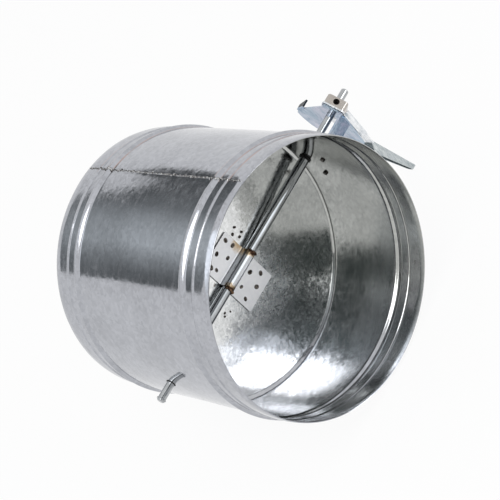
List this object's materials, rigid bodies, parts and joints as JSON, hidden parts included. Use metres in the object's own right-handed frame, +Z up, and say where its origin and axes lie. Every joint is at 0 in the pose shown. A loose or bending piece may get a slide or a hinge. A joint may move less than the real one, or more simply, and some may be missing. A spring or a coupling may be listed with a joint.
{
  "type": "duct damper",
  "caption": "Round manual volume damper: beaded sheet-metal casing with a disc blade turning on a cross shaft, set by an outside lever over a quadrant on a stand-off bracket.",
  "frame": {"origin": "on the duct's centreline at the end face of the near spigot", "axes": "+Y along the duct from the near spigot to the far one, +X along the blade shaft towards the handle, +Z up; the lever hangs towards -Z with the blade shut"},
  "size_m": [0.4182, 0.27, 0.3058],
  "materials": {
    "galvanised_sheet": "hot-dip galvanised, spangled",
    "galvanised_blade": "hot-dip galvanised, spangled, weathered",
    "zinc_plate": "bright zinc plate, blue passivated",
    "bright_steel": "cold drawn, bright",
    "hub_steel": "sintered, nickel grey",
    "weld_metal": "burnt, rough",
    "rivet_alloy": "dull",
    "nylon": "matt black",
    "black_oxide": "black oxide"
  },
  "bodies": {
    "casing": {"casing_shell": "galvanised_sheet", "seam_welds": "weld_metal", "bush_handle": "nylon", "bush_tail": "nylon", "quadrant_bracket": "zinc_plate", "bracket_rivets": "rivet_alloy"},
    "blade": {"blade_disc": "galvanised_blade", "saddle_plate": "zinc_plate", "saddle_welds": "weld_metal", "weld_handle": "weld_metal", "weld_tail": "weld_metal", "shaft_tube": "bright_steel", "handle_rod": "bright_steel", "tail_rod": "bright_steel", "tail_ring": "bright_steel", "spacer_handle": "nylon", "spacer_tail": "nylon", "thrust_washer": "bright_steel", "lever_arm": "zinc_plate", "lever_hub": "hub_steel", "hub_set_screw": "black_oxide"}
  },
  "joints": [
    {"name": "blade_turn", "type": "hinge", "parent": "casing", "child": "blade", "pos_m": [0, 0.135, 0], "axis": [1, 0, 0], "range_deg": [0, 82]}
  ]
}
